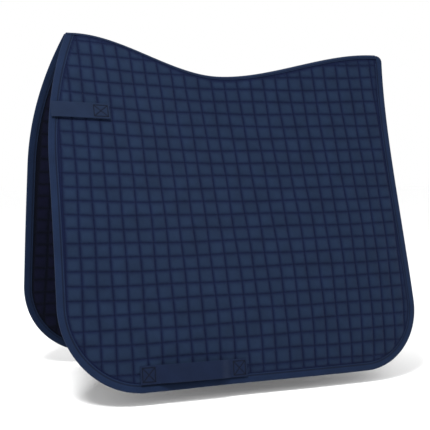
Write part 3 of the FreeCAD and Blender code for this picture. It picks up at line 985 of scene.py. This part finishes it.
def webbing_piece(name, side, base, long, width, rise, lines, material, thick=None, trim=0.0):
    """A length of webbing on a seat: rise gives its underside's height, its edges are rounded
    by quarter ellipses down to a share of its thickness, and it is pressed down along the sewn
    lines by a bell curve. Its free end may stop short by a trim."""
    s = sizes()
    step, stations, rounding, edge_share, trimmed = 0.6 * MM, 41, 0.9 * MM, 0.12, 25 * MM
    along = np.linspace(0, long, int(long / step) + 1)[:, None]
    up = width * end_crowded(stations)
    rounded = 1.0
    for place, reach in ((up, width), (along, long)):
        rounded = rounded * quarter_round(np.minimum(place, reach - place) / rounding)
    thickness = s.webbing if thick is None else thick(along)
    sewn = bell(line_distance(along, up, lines), DENT_WIDTH)
    middle = rise(along) + thickness / 2
    half = thickness / 2 * (edge_share + (1 - edge_share) * rounded)
    placed = along + trim * (1 - smooth_step(along / trimmed))
    shown = on_seat(side, base, placed, up, middle + half - DENT_DEPTH * sewn)
    hidden = on_seat(side, base, placed, up, middle - half)
    weave = np.stack(np.broadcast_arrays(along, up), axis=-1)
    # painted shade: the webbing darkens along the sewn lines, in the dent where shade falls
    return strip_piece(name, shown, hidden, weave, material, crown=1 - 0.9 * sewn)


def box_thread(name, side, base, lines, height, material):
    """The stitches of a sewn box, on the webbing's surface."""
    starts, ends = [], []
    for start, end in lines:
        way = end - start
        count = max(round(np.linalg.norm(way) / BOX_STEP), 1)
        share = np.arange(count)[:, None] / count
        starts.append(start + way * share)
        ends.append(start + way * (share + BOX_SHARE / count))
    first, last = (
        on_seat(side, base, *places.T, np.full(len(places), height))
        for places in (np.concatenate(starts), np.concatenate(ends))
    )
    out = np.tile(base[3] * [1, -SIDES[side], 1], (len(first), 1))
    return stitches(name, first, last, out, BOX_THREAD, material, rings=3)


def front_strap(side):
    """The front strap: its sewn tab is doubled, its free end runs on over the binding and
    dips a little at the tip. Returns its seat and where its bend starts and ends."""
    s = sizes()
    tab_step, tip_reach, tip_dip, bend, from_tab = 3 * MM, 16 * MM, 1.2 * MM, 16 * MM, 0.3 * MM
    base = strap_seat()
    long, tab = s.strap_length, s.strap_tab
    lines = box_lines(long - tab / 2, tab / 2, s.strap_width)
    single = s.webbing

    def on_tab(along):
        return smooth_step((along - long + tab) / tab_step)

    def doubled(along):
        return single * (1 + on_tab(along))

    def rise(along):
        tip = 1 - smooth_step(along / tip_reach)
        return single * (1 - on_tab(along)) - tip_dip * tip

    trim = s.strap_trim if side == "off" else 0.0
    strap = webbing_piece(
        f"{side}_strap", side, base, long, s.strap_width, rise, lines, strap_webbing(),
        doubled, trim,
    )
    hinge = s.strap_length - s.strap_tab - from_tab
    middle = s.strap_width / 2
    start, end = (
        on_seat(side, base, np.array(hinge - back), np.array(middle), np.array(2 * single))
        for back in (0.0, bend)
    )
    settle(strap, (f"{side}_strap_tab", f"{side}_strap_tongue"))
    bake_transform(strap)
    top = 2 * single - THREAD_SUNK
    thread = box_thread(f"{side}_strap_thread", side, base, lines, top, sewing_thread())
    settle(thread, (f"{side}_strap_stitching",), body="spine")
    return base, start, end


def touch_tape(side, base, part, start, end):
    """A patch of touch tape: a thin plate with rounded corners under the strap's free end,
    the hook side on the strap and the loop side on the pad."""
    s = sizes()
    high = part == "hook"
    level = s.webbing - s.touch_thick if high else 0.0
    along = s.touch_start + s.touch_length * end_crowded(35)[:, None]
    up = end_crowded(27) * s.touch_width
    up = up + (s.strap_width - s.touch_width) / 2
    middle = s.touch_start + s.touch_length / 2
    corner = 2.5 * MM
    from_end = s.touch_length / 2 - np.abs(along - middle)
    squeeze = corner - np.sqrt(np.maximum(corner**2 - np.maximum(corner - from_end, 0) ** 2, 0))
    share = (up - s.strap_width / 2) / (s.touch_width / 2)
    up = s.strap_width / 2 + share * (s.touch_width / 2 - squeeze)
    shown = on_seat(side, base, along, up, np.full(up.shape, level + s.touch_thick))
    hidden = on_seat(side, base, along, up, np.full(up.shape, level))
    weave = np.stack(np.broadcast_arrays(along, up), axis=-1)
    plate = strip_piece(
        f"{side}_{part}_tape", shown, hidden, weave, touch_pile(), crown=np.ones(up.shape)
    )
    settle(plate, (f"{side}_strap_{part}_tape",), body=None if high else "spine")
    if high:
        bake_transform(plate)


def girth_loop(side):
    """The girth loop: sewn flat at both ends, its middle standing off the flap."""
    s = sizes()
    base = loop_seat()
    long, tab = s.loop_length, s.loop_tab

    def rise(along):
        from_end = np.minimum(along, long - along)
        return s.loop_stand_off * smooth_step((from_end - tab) / s.loop_ramp)

    ends = {"front": tab / 2, "rear": long - tab / 2}
    boxes = {name: box_lines(middle, tab / 2, s.loop_width) for name, middle in ends.items()}
    loop = webbing_piece(
        f"{side}_girth_loop_webbing", side, base, long, s.loop_width, rise,
        np.concatenate(list(boxes.values())), shaded_loop_webbing(),
    )
    settle(loop, (f"{side}_girth_loop",), body=f"{side}_flap")
    for name, lines in boxes.items():
        top = s.webbing - THREAD_SUNK
        thread = box_thread(
            f"{side}_girth_loop_{name}_thread", side, base, lines, top, sewing_thread()
        )
        settle(thread, (f"{side}_girth_loop_{name}_stitching",), body=f"{side}_flap")


# ---------------------------------------------------------------- materials

def add_node(tree, kind, inputs=None, **settings):
    """Adds a node, sets its own settings, and sets or links its inputs by name or number. A
    colour mix has its colours at inputs 6 and 7 and its result at output 2."""
    node = tree.nodes.new(f"ShaderNode{kind}")
    for key, value in settings.items():
        setattr(node, key, value)
    for key, value in (inputs or {}).items():
        if isinstance(value, bpy.types.NodeSocket):
            tree.links.new(value, node.inputs[key])
        else:
            node.inputs[key].default_value = value
    return node


def blank_material(name):
    """A new material with no nodes, and its tree."""
    material = bpy.data.materials.new(name)
    material.use_nodes = True
    material.node_tree.nodes.clear()
    return material, material.node_tree


def shared(name, make, **settings):
    """The material of that name, made the first time it is asked for."""
    return bpy.data.materials.get(name) or make(name, **settings)


def ribs(spacing):
    """Wave texture scale for ribs that many millimetres apart, on coordinates in weave units:
    a wave's period is two pi over twenty times the scale."""
    return 2 * math.pi / 20 / (spacing * MM / WEAVE_UNIT)


def woven(name, top, seam, warp, weft, turn, roughness, sheen, relief):
    """A woven cloth coloured by its dye: crossing ribs on the piece's own flat coordinates, with
    painted shade that darkens it down in the seams and sewn dents, following the crown attribute. The
    dye's tone changes slowly, every 33 mm or so, and the fuzz is 0.4 mm fine: a weave unit over each
    noise's scale."""
    material, tree = blank_material(name)
    flat = add_node(tree, "UVMap", uv_map="Weave").outputs["UV"]
    turned = add_node(tree, "Mapping", {"Vector": flat, "Rotation": (0, 0, math.radians(turn))})
    rows = [
        add_node(
            tree, "TexWave", {"Vector": turned.outputs[0], "Scale": ribs(spacing),
                              "Distortion": 0.5, "Detail": 1.0, "Detail Scale": 2.0},
            wave_type="BANDS", bands_direction=way, wave_profile="SIN",
        )
        for spacing, way in ((warp, "X"), (weft, "Y"))
    ]
    cross = add_node(tree, "Math", {0: rows[0].outputs["Fac"], 1: rows[1].outputs["Fac"]},
                     operation="MULTIPLY")
    slow = add_node(tree, "TexNoise", {"Vector": flat, "Scale": 0.3, "Detail": 3.0})
    fuzz = add_node(tree, "TexNoise", {"Vector": flat, "Scale": 26.0, "Detail": 2.0})
    # painted shade: the crown share mixes in the seam colour where shade falls, in grooves and dents,
    # and the top colour on the crowns
    crown = add_node(tree, "Attribute", attribute_name="crown")
    lift = add_node(tree, "MapRange", {"Value": crown.outputs["Fac"], "From Min": 0.0,
                                       "From Max": 0.9}, interpolation_type="SMOOTHSTEP")
    painted_shade_mix = add_node(tree, "Mix", {0: lift.outputs[0], 6: linear(seam), 7: linear(top)},
                    data_type="RGBA")
    tone = None
    for source, low, high, least, most in (
        (slow, 0.3, 0.7, 0.88, 1.12), (cross, 0.0, 1.0, 0.86, 1.12), (fuzz, 0.3, 0.7, 0.93, 1.07)
    ):
        fac = source.outputs["Fac"] if "Fac" in source.outputs else source.outputs[0]
        band = add_node(tree, "MapRange", {"Value": fac, "From Min": low, "From Max": high,
                                           "To Min": least, "To Max": most}).outputs[0]
        tone = band if tone is None else add_node(
            tree, "Math", {0: tone, 1: band}, operation="MULTIPLY").outputs[0]
    shade = add_node(tree, "VectorMath", {0: painted_shade_mix.outputs[2], "Scale": tone}, operation="SCALE")
    bump = add_node(tree, "Bump", {"Strength": relief, "Distance": 0.3 * MM,
                                   "Height": cross.outputs[0]})
    cloth = add_node(tree, "BsdfPrincipled", {
        "Base Color": shade.outputs[0], "Roughness": roughness, "IOR": 1.47,
        "Specular IOR Level": 0.04, "Sheen Weight": sheen, "Sheen Roughness": 0.5,
        "Sheen Tint": linear(colours().bloom), "Normal": bump.outputs[0],
    })
    add_node(tree, "OutputMaterial", {"Surface": cloth.outputs[0]})
    return material


def cotton_cover():
    """Dyed cotton twill: matt, with fine diagonal ribs and a faint bloom of fibres. Its
    ribs, about 0.5 mm apart on the real cloth, are drawn at 1 mm so that they show."""
    c = colours()
    return shared("cotton_twill_cover", woven, top=c.cover, seam=c.cover_seam_shade, warp=1.0,
                  weft=1.4, turn=45, roughness=0.85, sheen=0.1, relief=0.5)


def cotton_lining():
    """Plain woven cotton lining: flatter than the cover, and darker, its dark navy deepened as
    painted shade for the shaded inside face of the tent. Threads drawn 1 mm apart, about twice the
    real spacing."""
    c = colours()
    return shared("plain_cotton_lining", woven, top=c.lining, seam=c.lining_seam_shade, warp=1.0,
                  weft=1.0, turn=0, roughness=0.9, sheen=0.06, relief=0.4)


def binding_tape():
    """Cotton binding tape: close ribs across the tape and a little more shine than the
    cover. The ribs are drawn 1.2 mm apart, the real ones about 0.6 mm."""
    c = colours()
    return shared("ribbed_cotton_binding", woven, top=c.binding, seam=c.binding_seam, warp=1.2,
                  weft=2.4, turn=0, roughness=0.75, sheen=0.12, relief=0.4)


def strap_webbing():
    """Woven polyester webbing: flat, with a fine herringbone and a soft shine."""
    c = colours()
    return shared("polyester_webbing_strap", woven, top=c.webbing, seam=c.webbing_seam_shade, warp=1.3,
                  weft=1.6, turn=30, roughness=0.7, sheen=0.12, relief=0.5)


def shaded_loop_webbing():
    """The same webbing cut for the girth loops, its colour darkened as painted shade."""
    c = colours()
    return shared("polyester_webbing_loop_painted_shade", woven, top=c.loop, seam=c.webbing_seam_shade, warp=1.3,
                  weft=1.6, turn=30, roughness=0.7, sheen=0.1, relief=0.5)


def touch_pile():
    """Nylon touch tape: a dense dark pile of hooks or loops that scatters light. The pile
    is drawn at 1 mm, the real hooks are about 0.4 mm apart."""
    c = colours()
    return shared("nylon_touch_tape", woven, top=c.touch_tape, seam=c.touch_tape, warp=1.0,
                  weft=1.0, turn=20, roughness=0.6, sheen=0.15, relief=1.0)


def spun_thread(name):
    """Twisted thread: a tone noise whose features, 1.1 mm apart, stand for the finer twist."""
    material, tree = blank_material(name)
    place = add_node(tree, "TexCoord").outputs["Object"]
    twist = add_node(tree, "TexNoise", {"Vector": place, "Scale": 900.0, "Detail": 1.0})
    dark, light = linear(colours().thread_shade), linear(colours().thread)
    painted_shade_mix = add_node(tree, "Mix", {0: twist.outputs["Fac"], 6: dark, 7: light}, data_type="RGBA")
    thread = add_node(tree, "BsdfPrincipled", {"Base Color": painted_shade_mix.outputs[2], "Roughness": 0.6,
                                               "IOR": 1.53, "Specular IOR Level": 0.08})
    add_node(tree, "OutputMaterial", {"Surface": thread.outputs[0]})
    return material


def sewing_thread():
    """Polyester sewing thread: smooth, with a slight shine and the twist as a tone change."""
    return shared("polyester_sewing_thread", spun_thread)


def open_foam(name):
    """Foam with cells about 1.1 mm wide, which are its real size, as painted shade down in the cells
    and as relief.
    """
    material, tree = blank_material(name)
    place = add_node(tree, "TexCoord").outputs["Object"]
    cells = add_node(tree, "TexVoronoi", {"Vector": place, "Scale": 900.0})
    bump = add_node(tree, "Bump", {"Strength": 0.6, "Distance": 0.4 * MM,
                                   "Height": cells.outputs["Distance"]})
    light, dark = linear(colours().foam), linear(colours().foam_cell_shade)
    # painted shade: the foam darkens towards the middle of each cell, where its pit lies
    tone = add_node(tree, "Mix", {0: cells.outputs["Distance"], 6: dark, 7: light}, data_type="RGBA")
    foam = add_node(tree, "BsdfPrincipled", {"Base Color": tone.outputs[2], "Roughness": 0.95,
                                             "Normal": bump.outputs[0]})
    add_node(tree, "OutputMaterial", {"Surface": foam.outputs[0]})
    return material


def quilting_foam():
    """Polyurethane foam: matt and full of small open cells."""
    return shared("polyurethane_foam", open_foam)


def paper_floor(name):
    """Matt pale paper."""
    material, tree = blank_material(name)
    shader = add_node(tree, "BsdfPrincipled", {"Base Color": linear(colours().floor),
                                               "Roughness": 0.9})
    add_node(tree, "OutputMaterial", {"Surface": shader.outputs[0]})
    return material


# ---------------------------------------------------------------- studio

def place_facing(thing, place, way):
    """Links a camera or a lamp at a place, facing along a direction."""
    thing.location = place
    thing.rotation_mode = "QUATERNION"
    thing.rotation_quaternion = way.to_track_quat("-Z", "Y")
    bpy.context.scene.collection.objects.link(thing)


def studio_floor():
    """A level square under the pad, clear of its closing flaps."""
    level = CAD_LOW.z - sizes().floor_drop
    corners = [(x, y, level) for x, y in (
        (-FLOOR_REACH, -FLOOR_REACH), (FLOOR_REACH, -FLOOR_REACH),
        (FLOOR_REACH, FLOOR_REACH), (-FLOOR_REACH, FLOOR_REACH),
    )]
    mesh = bpy.data.meshes.new("floor")
    mesh.from_pydata(corners, [], [(0, 1, 2, 3)])
    mesh.materials.append(shared("matt_paper_floor", paper_floor))
    floor = bpy.data.objects.new("floor", mesh)
    bpy.context.scene.collection.objects.link(floor)


def studio_camera():
    """The camera, in front of the near side and a little ahead of the pad."""
    camera = bpy.data.objects.new("camera", bpy.data.cameras.new("camera"))
    camera.data.sensor_width = CAMERA_SENSOR
    camera.data.lens = CAMERA_LENS
    turn, rise = math.radians(CAMERA_TURN), math.radians(CAMERA_RISE)
    back = Vector((math.sin(turn) * math.cos(rise), -math.cos(turn) * math.cos(rise),
                   math.sin(rise)))
    place_facing(camera, CAMERA_PLACE, -back)
    bpy.context.scene.camera = camera


def studio_lights():
    """An even white surround and the soft square lights."""
    world = bpy.data.worlds.new("studio")
    world.use_nodes = True
    bpy.context.scene.world = world
    background = world.node_tree.nodes["Background"]
    background.inputs["Color"].default_value = (1.0, 1.0, 1.0, 1.0)
    background.inputs["Strength"].default_value = 1.0
    for name, place, power, width in LIGHTS:
        lamp = bpy.data.lights.new(name, "AREA")
        lamp.energy = power
        lamp.size = width
        light = bpy.data.objects.new(name, lamp)
        place_facing(light, place, Vector(LIGHT_AIM) - Vector(place))


# ---------------------------------------------------------------- operators

class SADDLEPAD_OT_covers(bpy.types.Operator):
    """Builds the quilted cotton cover of each side"""

    bl_idname = "saddle_pad.covers"
    bl_label = "Quilted Covers"

    def execute(self, context):
        check_shape()
        quilted_panel.cache_clear()
        for side in SIDES:
            quilted_cloth(side, "cover", cotton_cover())
        return {"FINISHED"}


class SADDLEPAD_OT_linings(bpy.types.Operator):
    """Builds the quilted cotton lining of each side"""

    bl_idname = "saddle_pad.linings"
    bl_label = "Quilted Linings"

    def execute(self, context):
        for side in SIDES:
            quilted_cloth(side, "lining", cotton_lining())
        return {"FINISHED"}


class SADDLEPAD_OT_foam(bpy.types.Operator):
    """Builds the foam between cover and lining"""

    bl_idname = "saddle_pad.foam"
    bl_label = "Foam"

    def execute(self, context):
        for side in SIDES:
            foam_sheet(side, quilting_foam())
        return {"FINISHED"}


class SADDLEPAD_OT_quilting(bpy.types.Operator):
    """Sews the quilting seams of the covers and linings"""

    bl_idname = "saddle_pad.quilting"
    bl_label = "Quilting Thread"

    def execute(self, context):
        for side in SIDES:
            for layer in ("cover", "lining"):
                quilting_thread(side, layer, sewing_thread())
        return {"FINISHED"}


class SADDLEPAD_OT_bindings(bpy.types.Operator):
    """Folds the binding over the free edges and sews it down"""

    bl_idname = "saddle_pad.bindings"
    bl_label = "Edge Bindings"

    def execute(self, context):
        for side in SIDES:
            edge_binding(side, binding_tape())
            binding_thread(side, sewing_thread())
        return {"FINISHED"}


class SADDLEPAD_OT_spine_tapes(bpy.types.Operator):
    """Lays the tapes over and under the spine seam"""

    bl_idname = "saddle_pad.spine_tapes"
    bl_label = "Spine Tapes"

    def execute(self, context):
        spine_tape()
        spine_lining_tape()
        return {"FINISHED"}


class SADDLEPAD_OT_straps(bpy.types.Operator):
    """Sews a front strap with its touch tape to each side"""

    bl_idname = "saddle_pad.straps"
    bl_label = "Front Straps"

    def execute(self, context):
        for side in SIDES:
            base, start, end = front_strap(side)
            for part in ("hook", "loop"):
                touch_tape(side, base, part, start, end)
        return {"FINISHED"}


class SADDLEPAD_OT_loops(bpy.types.Operator):
    """Sews a girth loop to each flap"""

    bl_idname = "saddle_pad.loops"
    bl_label = "Girth Loops"

    def execute(self, context):
        for side in SIDES:
            girth_loop(side)
        return {"FINISHED"}


class SADDLEPAD_OT_studio(bpy.types.Operator):
    """Builds the pale floor, the soft lights and the camera"""

    bl_idname = "saddle_pad.studio"
    bl_label = "Studio"

    def execute(self, context):
        bpy.context.scene.view_settings.view_transform = "Standard"
        studio_floor()
        studio_camera()
        studio_lights()
        return {"FINISHED"}


class VIEW3D_PT_saddle_pad(bpy.types.Panel):
    """Lists the pad's pieces in the sidebar"""

    bl_label = "Saddle Pad"
    bl_space_type = "VIEW_3D"
    bl_region_type = "UI"
    bl_category = "Saddle Pad"

    def draw(self, context):
        for operator in STEPS:
            self.layout.operator(operator.bl_idname)
        for group in (context.scene.saddle_pad_sizes, context.scene.saddle_pad_colours):
            for key in group.bl_rna.properties.keys():
                if key not in ("rna_type", "name"):
                    self.layout.prop(group, key)


STEPS = (
    SADDLEPAD_OT_covers,
    SADDLEPAD_OT_linings,
    SADDLEPAD_OT_foam,
    SADDLEPAD_OT_quilting,
    SADDLEPAD_OT_bindings,
    SADDLEPAD_OT_spine_tapes,
    SADDLEPAD_OT_straps,
    SADDLEPAD_OT_loops,
    SADDLEPAD_OT_studio,
)
CLASSES = (SaddlePadSizes, SaddlePadColours, *STEPS, VIEW3D_PT_saddle_pad)


def register():
    """Adds the classes and the scene's sizes and colours."""
    for item in CLASSES:
        bpy.utils.register_class(item)
    bpy.types.Scene.saddle_pad_sizes = PointerProperty(type=SaddlePadSizes)
    bpy.types.Scene.saddle_pad_colours = PointerProperty(type=SaddlePadColours)


def unregister():
    """Takes them away again."""
    del bpy.types.Scene.saddle_pad_colours
    del bpy.types.Scene.saddle_pad_sizes
    for item in reversed(CLASSES):
        bpy.utils.unregister_class(item)


def main():
    """Registers the add-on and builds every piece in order."""
    register()
    for step in STEPS:
        category, name = step.bl_idname.split(".")
        getattr(getattr(bpy.ops, category), name)()


if __name__ == "__main__":
    main()
